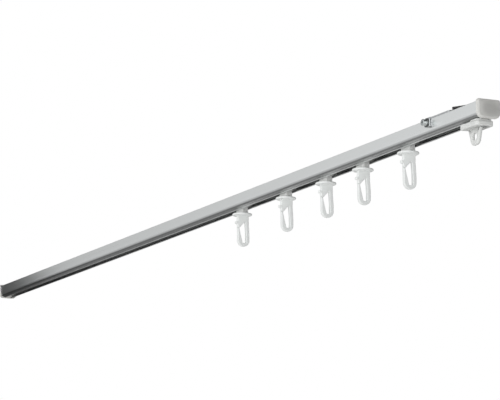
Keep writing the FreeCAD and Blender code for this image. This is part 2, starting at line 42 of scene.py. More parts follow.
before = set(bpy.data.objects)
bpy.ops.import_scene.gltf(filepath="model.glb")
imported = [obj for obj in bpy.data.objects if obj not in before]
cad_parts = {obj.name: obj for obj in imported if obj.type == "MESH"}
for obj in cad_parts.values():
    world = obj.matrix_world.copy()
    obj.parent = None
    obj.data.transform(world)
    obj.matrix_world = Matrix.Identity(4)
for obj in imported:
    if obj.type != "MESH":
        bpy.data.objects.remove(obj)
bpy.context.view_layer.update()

MM = 0.001
ACROSS = Vector((0, 1, 0))
ALONG = Vector((1, 0, 0))
UP = Vector((0, 0, 1))

# Boxes of the solids that the pieces take their places from
RAIL_LOW, RAIL_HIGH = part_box("track_rail")
CAP_LOW, CAP_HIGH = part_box("end_cap_near")
STOP_LOW, STOP_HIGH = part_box("end_stop_body")
SCREW_LOW, SCREW_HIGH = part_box("clamp_screw")
LEVER_LOW, LEVER_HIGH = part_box("bracket_lever")

# Measures that several pieces share, in millimetres
WALL = 1.3
SHEET = 1.4
LIP_UNDERSIDE = RAIL_LOW.z / MM + 0.35
HOOK_REACH = 31.8
LEVER_AXLE = 25.0
CEILING_HOLE = (0, 0, 0)
GLIDERS = range(1, 6)

# The studio: its even light, the floor's own glow, and soft regions of the world, each with a
# direction, the cosines where it begins and where it is full, and its brightness
EVEN_LIGHT = 0.11
FLOOR_GLOW = 0.42
SOFT_LIGHTS = (
    ((-0.7211, -0.6493, 0.2419), 0.90, 0.985, 0.27),
    ((-0.8637, -0.4592, 0.2079), 0.90, 0.995, 0.08),
    ((-0.8613, -0.4973, -0.1045), 0.90, 0.995, 0.18),
    ((-0.8638, -0.3846, -0.3256), 0.90, 0.995, 0.09),
    ((0.0, -0.9659, 0.2588), 0.30, 0.95, 0.56),
    ((0.766, -0.6428, 0.0), 0.50, 0.97, 1.00),
    ((0.866, 0.0, -0.5), 0.30, 0.95, 0.27),
    ((-0.73, 0.37, 0.57), 0.85, 0.98, 0.60),
    ((0.0, 0.0, -1.0), 0.20, 0.95, 0.45),
)


class Value:
    """A number that changes over a surface; sums and products on it add Math nodes."""

    def __init__(self, finish, socket):
        self.finish = finish
        self.socket = socket

    def _math(self, operation, first, second):
        node = self.finish.node("ShaderNodeMath", {"operation": operation}, {0: first, 1: second})
        return Value(self.finish, node.outputs[0])

    def __add__(self, other):
        return self._math("ADD", self, other)

    def __radd__(self, other):
        return self._math("ADD", other, self)

    def __sub__(self, other):
        return self._math("SUBTRACT", self, other)

    def __rsub__(self, other):
        return self._math("SUBTRACT", other, self)

    def __mul__(self, other):
        return self._math("MULTIPLY", self, other)

    def __rmul__(self, other):
        return self._math("MULTIPLY", other, self)


class Nodes:
    """A node tree that is filled node by node."""

    def __init__(self, tree):
        self.tree = tree

    def node(self, kind, settings=None, values=None):
        """Adds a node, its settings first, then the values or links of its sockets."""
        node = self.tree.nodes.new(kind)
        for key, setting in (settings or {}).items():
            if key == "stops":
                ramp = node.color_ramp
                for index, (position, grey) in enumerate(setting):
                    stop = ramp.elements[index] if index < 2 else ramp.elements.new(position)
                    stop.position = position
                    stop.color = (grey, grey, grey, 1)
            else:
                setattr(node, key, setting)
        for key, value in (values or {}).items():
            self.feed(node.inputs[key], value)
        return node

    def feed(self, socket, value):
        """Links a socket to a node output or sets it to a plain value."""
        if isinstance(value, Value):
            self.tree.links.new(value.socket, socket)
        elif isinstance(value, bpy.types.NodeSocket):
            self.tree.links.new(value, socket)
        else:
            socket.default_value = value

    def fade(self, value, low, high):
        """Zero below low, one above high, with a soft passage between them."""
        node = self.node(
            "ShaderNodeMapRange",
            {"interpolation_type": "SMOOTHSTEP"},
            {"Value": value, "From Min": low, "From Max": high},
        )
        return Value(self, node.outputs[0])

    def along(self, vector, direction):
        """Share of a vector that points in a direction."""
        node = self.node("ShaderNodeVectorMath", {"operation": "DOT_PRODUCT"}, {0: vector, 1: direction})
        return Value(self, node.outputs["Value"])


class Finish(Nodes):
    """A material with one Principled shader and the nodes that feed it."""

    def __init__(self, name):
        self.material = bpy.data.materials.new(name)
        self.material.use_nodes = True
        super().__init__(self.material.node_tree)
        self.shader = self.tree.nodes["Principled BSDF"]
        self.place = self.node("ShaderNodeTexCoord").outputs["Object"]

    def noise(self, scale, detail=2.0, stretch=(1, 1, 1)):
        """Noise in object space, with its grain stretched along the axes whose factor is small."""
        mapped = self.node("ShaderNodeMapping", {}, {"Vector": self.place, "Scale": stretch})
        values = {"Vector": mapped.outputs[0], "Scale": scale, "Detail": detail}
        node = self.node("ShaderNodeTexNoise", {}, values)
        return Value(self, node.outputs["Fac"])

    def ramp(self, value, *stops):
        """Grey levels from a value, through the given stops."""
        node = self.node("ShaderNodeValToRGB", {"stops": stops}, {"Fac": value})
        return Value(self, node.outputs["Color"])

    def mixed(self, factor, first, second):
        """A colour between two others."""
        colours = {6: (*first[:3], 1), 7: (*second[:3], 1)}
        node = self.node("ShaderNodeMix", {"data_type": "RGBA"}, {"Factor": factor, **colours})
        return node.outputs[2]

    def relief(self, height, strength, distance):
        """Small surface relief from a height."""
        values = {"Strength": strength, "Distance": distance, "Height": height}
        return self.node("ShaderNodeBump", {}, values).outputs[0]

    def shade(self, **sockets):
        """Feeds the Principled shader; underscores stand for the spaces in its socket names."""
        for key, value in sockets.items():
            self.feed(self.shader.inputs[key.replace("_", " ")], value)
        return self.material


def darker(colour, share):
    """The colour made darker by a share of itself."""
    return tuple(channel * (1 - share) for channel in colour[:3])


# Mesh helpers: meshes are in metres in the part's frame, outlines and roundings in millimetres

def at_height(height):
    """Lays an outline flat at a height in millimetres."""
    return lambda a, b: Vector((a, b, height * MM))


def across_rail(distance):
    """Stands an outline across the rail, at a distance along it in millimetres."""
    return lambda a, b: Vector((distance * MM, a, b))


def along_rail(distance):
    """Stands an outline along the rail, at a distance across it in millimetres."""
    return lambda a, b: Vector((a, distance * MM, b))


def outline_loop(bm, corners, place):
    """A flat face through (a, b, radius, steps) corners; place sets it in space."""
    points = [Vector((a, b)) for a, b, _, _ in corners]
    verts = [bm.verts.new(place(a * MM, b * MM)) for a, b, _, _ in corners]
    others = set(bm.faces)
    bm.faces.new(verts)
    count = len(corners)
    for index, vert in enumerate(verts):
        radius, steps = corners[index][2:]
        if not radius:
            continue
        before = (points[index - 1] - points[index]).normalized()
        after = (points[(index + 1) % count] - points[index]).normalized()
        setback = radius / math.tan(before.angle(after) / 2)
        bmesh.ops.bevel(
            bm,
            geom=[vert],
            offset=setback * MM,
            offset_type="OFFSET",
            segments=steps,
            profile=0.5,
            affect="VERTICES",
            clamp_overlap=False,
            material=-1,
        )
    return next(face for face in bm.faces if face not in others)


def pull(bm, faces, move):
    """Extrudes faces by a vector and returns the new end faces."""
    grown = bmesh.ops.extrude_face_region(bm, geom=faces)["geom"]
    verts = [item for item in grown if isinstance(item, bmesh.types.BMVert)]
    bmesh.ops.translate(bm, vec=move, verts=verts)
    return [item for item in grown if isinstance(item, bmesh.types.BMFace)]


def soften(bm, edges, size, steps):
    """Rounds edges by a size in millimetres."""
    bmesh.ops.bevel(
        bm,
        geom=list(edges),
        offset=size * MM,
        offset_type="OFFSET",
        segments=steps,
        profile=0.5,
        affect="EDGES",
        clamp_overlap=False,
        material=-1,
    )


def rim_edges(faces):
    """Edges round a region of faces."""
    inside = set(faces)
    edges = {edge for face in faces for edge in face.edges}
    return {edge for edge in edges if not inside.issuperset(edge.link_faces)}


def slab(bm, corners, place, move, rounding=0.0, steps=3, end_rounding=None):
    """A plate drawn through rounded corners, pulled by a vector, with its two rims rounded."""
    start = outline_loop(bm, corners, place)
    ends = pull(bm, [start], move)
    if rounding:
        soften(bm, rim_edges([start]), rounding, steps)
        soften(bm, rim_edges(ends), end_rounding or rounding, steps)


def sink(bm, face, corners, place, move):
    """Sinks a recess with the given outline into a flat face."""
    rim = list(face.edges)
    bmesh.ops.delete(bm, geom=[face], context="FACES_ONLY")
    floor = outline_loop(bm, corners, place)
    bmesh.ops.triangle_fill(bm, edges=rim + list(floor.edges), use_beauty=True)
    pull(bm, [floor], move)


def turned(bm, corners, centre, steps):
    """Spins a closed profile of (radius, height, rounding, steps) corners round an upright axis."""
    before = set(bm.verts)
    face = outline_loop(bm, corners, along_rail(0))
    edges = [edge for edge in face.edges if max(vert.co.x for vert in edge.verts) > 0.01 * MM]
    axis_edges = [edge for edge in face.edges if edge not in edges]
    bmesh.ops.delete(bm, geom=[face], context="FACES_ONLY")
    bmesh.ops.delete(bm, geom=axis_edges, context="EDGES")
    verts = list({vert for edge in edges for vert in edge.verts})
    bmesh.ops.spin(
        bm,
        geom=verts + edges,
        cent=Vector(),
        axis=UP,
        angle=math.tau,
        steps=steps,
        use_merge=True,
    )
    made = [vert for vert in bm.verts if vert not in before]
    bmesh.ops.translate(bm, vec=Vector(centre) * MM, verts=made)


def thicken(bm, faces, move, rounding, steps):
    """Gives a flat region of faces a thickness along a vector and rounds its rims."""
    forward = move.normalized()
    verts = {vert for face in faces for vert in face.verts}
    base = min(vert.co.dot(forward) for vert in verts)
    grown = bmesh.ops.solidify(bm, geom=faces, thickness=move.length)["geom"]
    verts |= {item for item in grown if isinstance(item, bmesh.types.BMVert)}
    lowest = min(vert.co.dot(forward) for vert in verts)
    bmesh.ops.translate(bm, vec=forward * (base - lowest), verts=list(verts))
    edges = {edge for vert in verts for edge in vert.link_edges if verts.issuperset(edge.verts)}
    rims = [
        edge
        for edge in edges
        if edge.is_manifold
        and edge.calc_face_angle(0) > 1.0
        and abs((edge.verts[0].co - edge.verts[1].co).dot(forward)) < 0.001 * MM
    ]
    soften(bm, rims, rounding, steps)


def pierced(bm, corners, holes, place, move, rounding, steps):
    """A plate with holes: the outlines are filled between and the region is thickened."""
    loops = [outline_loop(bm, loop, place) for loop in (corners, *holes)]
    edges = [edge for face in loops for edge in face.edges]
    bmesh.ops.delete(bm, geom=loops, context="FACES_ONLY")
    filled = bmesh.ops.triangle_fill(bm, edges=edges, use_beauty=True)["geom"]
    thicken(bm, [item for item in filled if isinstance(item, bmesh.types.BMFace)], move, rounding, steps)


def circle(a, b, radius, steps=10):
    """Corners of a circle, as a square rounded by nearly its full half width."""
    near = radius * 0.9999
    return [
        (a - radius, b - radius, near, steps),
        (a + radius, b - radius, near, steps),
        (a + radius, b + radius, near, steps),
        (a - radius, b + radius, near, steps),
    ]


def block(bm, low, high, rounding, steps):
    """A box between two corners in millimetres, with its edges rounded."""
    size = [(b - a) * MM for a, b in zip(low, high)]
    centre = [(a + b) / 2 * MM for a, b in zip(low, high)]
    made = bmesh.ops.create_cube(bm, size=1.0)["verts"]
    bmesh.ops.scale(bm, vec=Vector(size), verts=made)
    bmesh.ops.translate(bm, vec=Vector(centre), verts=made)
    soften(bm, {edge for vert in made for edge in vert.link_edges}, rounding, steps)


def finish_piece(name, bm, material, body, replaced, smooth_angle):
    """Turns a bmesh into a shown piece that rides on a CAD body in place of CAD nodes."""
    bmesh.ops.remove_doubles(bm, verts=bm.verts, dist=0.001 * MM)
    bmesh.ops.recalc_face_normals(bm, faces=bm.faces)
    limit = math.radians(smooth_angle)
    for face in bm.faces:
        face.smooth = True
    for edge in bm.edges:
        edge.smooth = not (edge.is_manifold and edge.calc_face_angle(0) > limit)
    mesh = bpy.data.meshes.new(name)
    bm.to_mesh(mesh)
    bm.free()
    piece = bpy.data.objects.new(name, mesh)
    bpy.context.scene.collection.objects.link(piece)
    mesh.materials.append(material)
    weighted = piece.modifiers.new("Even shading", "WEIGHTED_NORMAL")
    weighted.keep_sharp = True
    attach(piece, body)
    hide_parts(*replaced)


def repaint(node, material):
    """Gives a carried CAD node a finished material."""
    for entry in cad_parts[node].material_slots:
        entry.material = material


# Finishes

def satin_aluminium(finishes):
    """Satin anodised extrusion: faint die lines, a painted dark reflection on the lower rounding and
    painted shade in the channel.
    """
    finish = Finish("satin_aluminium")
    lines = finish.noise(900.0, detail=3.0, stretch=(0.004, 1, 1))
    grain = finish.noise(5200.0, detail=1.0)
    cloud = finish.noise(9.0, stretch=(0.4, 1, 1))
    across = finish.along(finish.place, (0, 1, 0))
    height = finish.along(finish.place, (0, 0, 1))
    # The channel's wall is told from the outside by the distance from a rounded box inside it
    box_side, box_depth, reach = 5.5 * MM, 12.4 * MM, 10.0 * MM
    left = finish.fade(across * -1.0, box_side, box_side + reach)
    right = finish.fade(across, box_side, box_side + reach)
    down = finish.fade(height * -1.0, box_depth, box_depth + reach)
    sideways = right + left
    outside = finish.fade(sideways * sideways + down * down, 0.165, 0.185)
    below_web = 1.0 - finish.fade(height, -8.0 * MM, -7.8 * MM)
    below_lips = 1.0 - finish.fade(height, -16.0 * MM, -15.5 * MM)
    between_beads = 1.0 - finish.fade(across * across, (3.85 * MM) ** 2, (4.15 * MM) ** 2)
    inside = (1.0 - outside) * below_web + outside * between_beads * below_lips
    above_beads = finish.fade(height, -17.5 * MM, -17.4 * MM)
    rounding = outside * finish.fade(height, -14.2 * MM, -16.6 * MM) * above_beads
    # Painted shade inside the channel and a painted dark reflection on the lower rounding, with a faint
    # random cloud of tone
    painted_shade_reflection_and_mottle = inside * 0.8 + rounding * 0.6 + cloud * 0.04
    tint = finish.mixed(painted_shade_reflection_and_mottle, finishes.aluminium, darker(finishes.aluminium, 0.8))
    return finish.shade(
        Base_Color=tint,
        Metallic=1.0,
        Roughness=finishes.aluminium_roughness + (lines - 0.5) * 0.10 + (grain - 0.5) * 0.05,
        Normal=finish.relief(lines * 0.7 + grain * 0.3, 0.10, 0.02 * MM),
        Anisotropic=0.35,
    )


def soft_cap_plastic(finishes):
    """Warm grey moulding with a fine eroded grain, and painted shade that darkens the middle of the cap.
    """
    finish = Finish("soft_cap_plastic")
    grain = finish.noise(2600.0, detail=3.0)
    cloud = finish.noise(160.0)
    half_wide, half_tall = 11.5 * MM, 8.4 * MM
    across = finish.along(finish.place, (0, 1 / half_wide, 0)) - 0.1
    height = finish.along(finish.place, (0, 0, 1 / half_tall)) + 1.28
    from_centre = across * across + height * height
    # Painted shade: darker towards the middle of the cap's section, with some random cloud of tone
    painted_centre_shade_and_cloud = (1.0 - finish.fade(from_centre, 0.02, 1.0)) * 0.85 + cloud * 0.15
    tint = finish.mixed(painted_centre_shade_and_cloud, finishes.cap, darker(finishes.cap, 0.27))
    return finish.shade(
        Base_Color=tint,
        Roughness=0.46 + (grain - 0.5) * 0.16,
        Normal=finish.relief(grain, 0.12, 0.03 * MM),
        Subsurface_Weight=0.3,
        Subsurface_Radius=(1.0, 1.0, 1.0),
        Subsurface_Scale=0.0015,
    )


def milky_plastic(finishes, name="milky_plastic", shade=0.0):
    """Milky moulding that lets some light through, with faint flow marks; shade darkens it as painted
    shade, for copies of the plastic that sit in shadow.
    """
    finish = Finish(name)
    flow = finish.noise(240.0, stretch=(1, 1, 0.35))
    grain = finish.noise(3100.0)
    colour = darker(finishes.milky, shade)
    tint = finish.mixed(finish.ramp(flow, (0.3, 0.0), (0.7, 1.0)), darker(colour, 0.05), colour)
    return finish.shade(
        Base_Color=tint,
        Roughness=0.5 + (flow - 0.5) * 0.12,
        Normal=finish.relief(flow * 0.6 + grain * 0.4, 0.08, 0.04 * MM),
        Specular_IOR_Level=0.35,
        Subsurface_Weight=0.25,
        Subsurface_Radius=(1.0, 1.0, 1.0),
        Subsurface_Scale=0.0012,
    )


def plated_steel(finishes, name, colour, roughness, painted_shade_behind=None):
    """Zinc plated steel with a faint cloudy bloom, and painted shade that blackens it behind a given
    depth.
    """
    finish = Finish(name)
    bloom = finish.noise(420.0, detail=4.0)
    scratch = finish.noise(1400.0, stretch=(0.05, 1, 1))
    bright = finish.ramp(bloom, (0.35, 0.0), (0.65, 1.0)) * 0.2 + 0.8
    # Painted shade: black behind the given depth
    if painted_shade_behind:
        depth = finish.along(finish.place, (0, 1, 0))
        bright = bright * (1.0 - finish.fade(depth, painted_shade_behind, painted_shade_behind + 0.1 * MM))
    tint = finish.mixed(bright, darker(colour, 0.8), colour)
    return finish.shade(
        Base_Color=tint,
        Metallic=1.0,
        Roughness=roughness + (bloom - 0.5) * 0.18 + (scratch - 0.5) * 0.08,
        Normal=finish.relief(scratch, 0.10, 0.02 * MM),
    )


def black_plastic(finishes):
    """Black moulding with a fine grain."""
    finish = Finish("black_plastic")
    grain = finish.noise(2400.0, detail=3.0)
    tint = finish.mixed(grain, darker(finishes.lever, 0.35), finishes.lever)
    return finish.shade(
        Base_Color=tint,
        Roughness=0.48 + (grain - 0.5) * 0.2,
        Normal=finish.relief(grain, 0.2, 0.04 * MM),
    )


def material_of(name, build):
    """The finish of that name, made on first use."""
    return bpy.data.materials.get(name) or build(bpy.context.scene.track_finishes)


def aluminium():
    """The rail's finish; the functions after it give those of the other pieces."""
    return material_of("satin_aluminium", satin_aluminium)


def cap_plastic():
    return material_of("soft_cap_plastic", soft_cap_plastic)


def milky():
    return material_of("milky_plastic", milky_plastic)


# A copy of the milky plastic with painted shade, darker for the runner necks in the shade of the rail
def milky_runner():
    name, shade = "milky_plastic_runner_painted_shade", 0.24
    return material_of(name, lambda finishes: milky_plastic(finishes, name, shade))


# A copy of the milky plastic with painted shade, darker for the end stop under the rail and the cap
def milky_stop():
    name, shade = "milky_plastic_stop_painted_shade", 0.19
    return material_of(name, lambda finishes: milky_plastic(finishes, name, shade))


def zinc():
    name, roughness = "zinc_steel", 0.34
    return material_of(name, lambda finishes: plated_steel(finishes, name, finishes.zinc, roughness))


def bright_zinc():
    name, roughness = "screw_steel", 0.24
    return material_of(name, lambda finishes: plated_steel(finishes, name, finishes.screw, roughness))


def clamp_zinc():
    """Steel of the clamp screw, with painted shade that blackens it behind its head where the tab shades
    it.
    """
    name, roughness = "clamp_screw_steel", 0.24
    behind_head = SCREW_LOW.y + 3.8 * MM
    return material_of(
        name, lambda finishes: plated_steel(finishes, name, finishes.screw, roughness, behind_head)
    )


def black():
    return material_of("black_plastic", black_plastic)


# Settings

class TrackFinishes(bpy.types.PropertyGroup):
    """Colours of the moulded and metal pieces."""

    aluminium: bpy.props.FloatVectorProperty(
        name="Aluminium",
        description="Colour of the anodised rail",
        default=(0.94, 0.955, 0.95),
        subtype="COLOR",
        min=0.0,
        max=1.0,
    )
    aluminium_roughness: bpy.props.FloatProperty(
        name="Aluminium Roughness",
        description="How satin the rail is",
        default=0.3,
        min=0.05,
        max=0.9,
        subtype="FACTOR",
    )
    cap: bpy.props.FloatVectorProperty(
        name="End Caps",
        description="Colour of the end caps",
        default=(0.77, 0.76, 0.725),
        subtype="COLOR",
        min=0.0,
        max=1.0,
    )
    milky: bpy.props.FloatVectorProperty(
        name="Gliders",
        description="Colour of the gliders and the end stop",
        default=(0.93, 0.935, 0.915),
        subtype="COLOR",
        min=0.0,
        max=1.0,
    )
    zinc: bpy.props.FloatVectorProperty(
        name="Bracket",
        description="Colour of the plated bracket",
        default=(0.62, 0.63, 0.64),
        subtype="COLOR",
        min=0.0,
        max=1.0,
    )
    screw: bpy.props.FloatVectorProperty(
        name="Clamp Screw",
        description="Colour of the plated clamp screw",
        default=(0.60, 0.63, 0.63),
        subtype="COLOR",
        min=0.0,
        max=1.0,
    )
    lever: bpy.props.FloatVectorProperty(
        name="Lever",
        description="Colour of the locking lever",
        default=(0.02, 0.02, 0.021),
        subtype="COLOR",
        min=0.0,
        max=1.0,
    )


class TrackRailSizes(bpy.types.PropertyGroup):
    """Section of the rail, in millimetres."""

    corner: bpy.props.FloatProperty(
        name="Lower Corner",
        description="Radius of the two lower corners in millimetres",
        default=5.0,
        min=1.0,
        max=6.0,
    )
    slot: bpy.props.FloatProperty(
        name="Slot",
        description="Width of the glider slot in millimetres",
        default=7.5,
        min=4.0,
        max=9.2,
    )
    mouth: bpy.props.FloatProperty(
        name="Groove Mouth",
        description="Width of the groove's mouth in the top in millimetres",
        default=9.6,
        min=4.0,
        max=12.0,
    )
    groove: bpy.props.FloatProperty(
        name="Groove",
        description="Width of the groove below its lips in millimetres",
        default=14.6,
        min=10.0,
        max=16.0,
    )


class TrackGliderSizes(bpy.types.PropertyGroup):
    """Sizes of one glider, in millimetres."""

    thickness: bpy.props.FloatProperty(
        name="Hook Thickness",
        description="Thickness of the hook along the rail in millimetres",
        default=3.8,
        min=2.0,
        max=6.0,
    )
    rounding: bpy.props.FloatProperty(
        name="Hook Rounding",
        description="Rounding of the hook's edges in millimetres",
        default=0.85,
        min=0.2,
        max=1.0,
    )
    collar: bpy.props.FloatProperty(
        name="Collar Radius",
        description="Radius of the round collar in millimetres",
        default=10.2,
        min=8.0,
        max=10.2,
    )


class TrackStageSettings(bpy.types.PropertyGroup):
    """Floor, light and camera."""

    floor: bpy.props.FloatVectorProperty(
        name="Floor",
        description="Colour of the floor",
        default=(0.80, 0.80, 0.79),
        subtype="COLOR",
        min=0.0,
        max=1.0,
    )
    floor_drop: bpy.props.FloatProperty(
        name="Floor Drop",
        description="Height of the ceiling face above the floor",
        default=1.3,
        unit="LENGTH",
    )
    lens: bpy.props.FloatProperty(
        name="Lens",
        description="Focal length of the camera",
        default=173.95,
        unit="CAMERA",
    )
    camera_place: bpy.props.FloatVectorProperty(
        name="Camera Place",
        description="Where the camera stands",
        default=(1.7922, -1.0724, -0.4723),
        subtype="TRANSLATION",
        unit="LENGTH",
    )
    camera_aim: bpy.props.FloatVectorProperty(
        name="Camera Aim",
        description="Direction that the camera looks in",
        default=(-0.8835, 0.4304, 0.18535),
        subtype="DIRECTION",
    )


# Pieces

class TRACK_OT_rail(bpy.types.Operator):
    """Extrudes the aluminium rail with its slot, its beads and the groove in its top"""

    bl_idname = "track.rail"
    bl_label = "Rail"

    def execute(self, context):
        sizes = context.scene.track_rail_sizes
        high = RAIL_HIGH / MM
        top = high.z
        side = high.y
        slot = sizes.slot / 2
        mouth = sizes.mouth / 2
        groove = sizes.groove / 2
        inner = side - WALL
        ceiling = top - 4.3
        lip = LIP_UNDERSIDE + WALL
        bead = LIP_UNDERSIDE - 0.6
        half = [
            (mouth, top, 0.15, 2),
            (side, top, 0.5, 4),
            (side, LIP_UNDERSIDE, sizes.corner, 20),
            (slot + 1.75, LIP_UNDERSIDE, 0.25, 3),
            (slot + 1.4, bead, 0.5, 6),
            (slot, bead, 0.6, 6),
            (slot, lip, 0.2, 2),
            (inner, lip, sizes.corner - WALL, 10),
            (inner, ceiling, 0.8, 4),
        ]
        groove_half = [
            (groove, top - 3.1, 0.3, 2),
            (groove, top - 1.2, 0.0, 0),
            (mouth, top - 1.2, 0.15, 2),
        ]
        section = half + self.mirrored(half) + self.mirrored(groove_half) + groove_half
        bm = bmesh.new()
        slab(bm, section, across_rail(RAIL_LOW.x / MM), ALONG * (RAIL_HIGH.x - RAIL_LOW.x))
        finish_piece("rail_extrusion", bm, aluminium(), "track", ["track_rail"], 24.0)
        return {"FINISHED"}

    def mirrored(self, corners):
        """The same corners on the other side of the middle, in the reverse order."""
        return [(-a, b, radius, steps) for a, b, radius, steps in reversed(corners)]


class TRACK_OT_end_caps(bpy.types.Operator):
    """Shapes the two soft end caps with their plugs"""

    bl_idname = "track.end_caps"
    bl_label = "End Caps"

    def execute(self, context):
        self.cap("cap_near", "end_cap_near", False)
        self.cap("cap_far", "end_cap_far", True)
        return {"FINISHED"}

    def cap(self, name, node, turned_round):
        """A block that swells from the seam to a cushioned end, and its plug and key."""
        low, high = CAP_LOW / MM, CAP_HIGH / MM
        seam = RAIL_HIGH.x / MM
        top = high.z + 0.8
        middle = Matrix.Translation(Vector((0, 0, -(low.z + top) / 2 * MM)))
        half_wide = (high.y - low.y) / 2
        half_tall = (top - low.z) / 2
        inset = 0.35
        corners = [
            (low.y + inset, top - inset, 1.8, 8),
            (high.y - inset, top - inset, 1.8, 8),
            (high.y - inset, low.z + inset, 5.2, 16),
            (low.y + inset, low.z + inset, 5.2, 16),
        ]
        bm = bmesh.new()
        face = outline_loop(bm, corners, across_rail(seam))
        place = 0.0
        for forward, inward in self.rings():
            face = pull(bm, [face], ALONG * (forward - place) * MM)[0]
            wider = (half_wide - inward) / (half_wide - inset)
            taller = (half_tall - inward) / (half_tall - inset)
            bmesh.ops.scale(bm, vec=Vector((1, wider, taller)), space=middle, verts=face.verts)
            place, inset = forward, inward
        start, end = seam - 4.2, seam + 0.2
        side = RAIL_HIGH.y / MM - 1.42
        plug_low, plug_high = LIP_UNDERSIDE + 1.9, RAIL_HIGH.z / MM - 4.45
        block(bm, (start, -side, plug_low), (end, side, plug_high), 1.6, 4)
        block(bm, (start, -4.15, LIP_UNDERSIDE + 0.6), (end, 4.15, LIP_UNDERSIDE + 2.6), 0.3, 2)
        if turned_round:
            centre = Vector(((RAIL_LOW.x + RAIL_HIGH.x) / 2, 0, 0))
            half_turn = Matrix.Rotation(math.pi, 3, "Z")
            bmesh.ops.rotate(bm, cent=centre, matrix=half_turn, verts=bm.verts)
        finish_piece(name, bm, cap_plastic(), "track", [node], 40.0)

    def rings(self):
        """Distance from the seam and inset of each ring from the seam to the end."""
        straight = 2.3
        angles = [math.pi / 2 * step / 8 for step in range(1, 9)]
        edge = [(straight + 2.2 * math.sin(turn), 2.4 * (1 - math.cos(turn))) for turn in angles]
        cushion = [(4.66, 3.3), (4.82, 4.6), (4.93, 6.0), (5.0, 7.2)]
        return [(0.12, 0.12), (0.35, 0.0), (straight, 0.0)] + edge + cushion


class TRACK_OT_runners(bpy.types.Operator):
    """Builds the five runners: a head in the channel and a neck through the slot"""

    bl_idname = "track.runners"
    bl_label = "Glider Runners"

    def execute(self, context):
        for number in GLIDERS:
            node = "glider_runner_%d" % number
            low, high = (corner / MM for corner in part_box(node))
            centre = (low.x + high.x) / 2
            inside_head = high.z - 2.0
            shoulder_low = (low.x + 1.0, low.y + 2.3, high.z - 4.6)
            shoulder_high = (high.x - 1.0, high.y - 2.3, inside_head)
            bm = bmesh.new()
            block(bm, (low.x, low.y, high.z - 3.4), high, 1.1, 4)
            block(bm, shoulder_low, shoulder_high, 0.5, 3)
            block(bm, (centre - 7.8, -3.3, low.z), (centre + 7.8, 3.3, inside_head), 0.8, 5)
            name, body = "runner_%d_body" % number, "runner_%d" % number
            finish_piece(name, bm, milky_runner(), body, [node], 40.0)
        return {"FINISHED"}


class TRACK_OT_hooks(bpy.types.Operator):
    """Builds the five hooks: collar, body with thumb tab, and a loop with a spring leg"""

    bl_idname = "track.hooks"
    bl_label = "Glider Hooks"

    def execute(self, context):
        sizes = context.scene.track_glider_sizes
        for number in GLIDERS:
            self.hook(number, sizes)
        return {"FINISHED"}

    def hook(self, number, sizes):
        """One hook; its outline is drawn across the rail and its round parts are turned."""
        node = "glider_hook_%d" % number
        low, high = (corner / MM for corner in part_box(node))
        centre = (low.x + high.x) / 2
        top = low.z + HOOK_REACH
        collar_low = top + 0.6
        collar_high = top + 2.6
        # Across the rail and down from the collar: body, loop, spring leg and thumb tab
        corners = [
            (6.9, 1.3, 0.0, 0),
            (6.9, -8.0, 14.0, 6),
            (7.7, -19.0, 14.0, 6),
            (7.7, -HOOK_REACH, 6.4, 18),
            (-5.4, -HOOK_REACH, 6.4, 18),
            (-5.4, -19.0, 12.0, 4),
            (-5.6, -11.95, 0.0, 0),
            (-3.75, -12.9, 0.0, 0),
            (-2.4, -19.0, 12.0, 6),
            (-0.1, -28.1, 1.25, 8),
            (3.9, -28.1, 1.25, 8),
            (3.9, -19.0, 12.0, 6),
            (2.9, -5.3, 1.1, 8),
            (-3.6, -12.45, 0.0, 0),
            (-5.65, -11.45, 0.0, 0),
            (-5.9, -8.45, 0.45, 4),
            (-8.0, -8.0, 1.1, 8),
            (-8.0, -5.3, 1.1, 8),
            (-5.9, -5.3, 0.45, 4),
            (-5.9, 1.3, 0.0, 0),
        ]
        half = sizes.thickness / 2
        bm = bmesh.new()
        slab(
            bm,
            corners,
            lambda a, b: Vector(((centre - half) * MM, a, b + top * MM)),
            ALONG * sizes.thickness * MM,
            sizes.rounding,
            5,
        )
        axis = (centre, 0, 0)
        collar = [
            (0, collar_low, 0, 0),
            (sizes.collar, collar_low, 1.0, 6),
            (sizes.collar, collar_high, 0.9, 6),
            (0, collar_high, 0, 0),
        ]
        turned(bm, collar, axis, steps=96)
        root, head, shank = collar_high - 0.5, high.z - 1.2, 1.9
        stem = [
            (0, root, 0, 0),
            (shank, root, 0, 0),
            (shank, head, 0, 0),
            (2.9, head, 0.2, 2),
            (2.2, high.z, 0.3, 3),
            (0, high.z, 0, 0),
        ]
        turned(bm, stem, axis, steps=32)
        name, body = "hook_%d_body" % number, "hook_%d" % number
        finish_piece(name, bm, milky(), body, [node], 40.0)


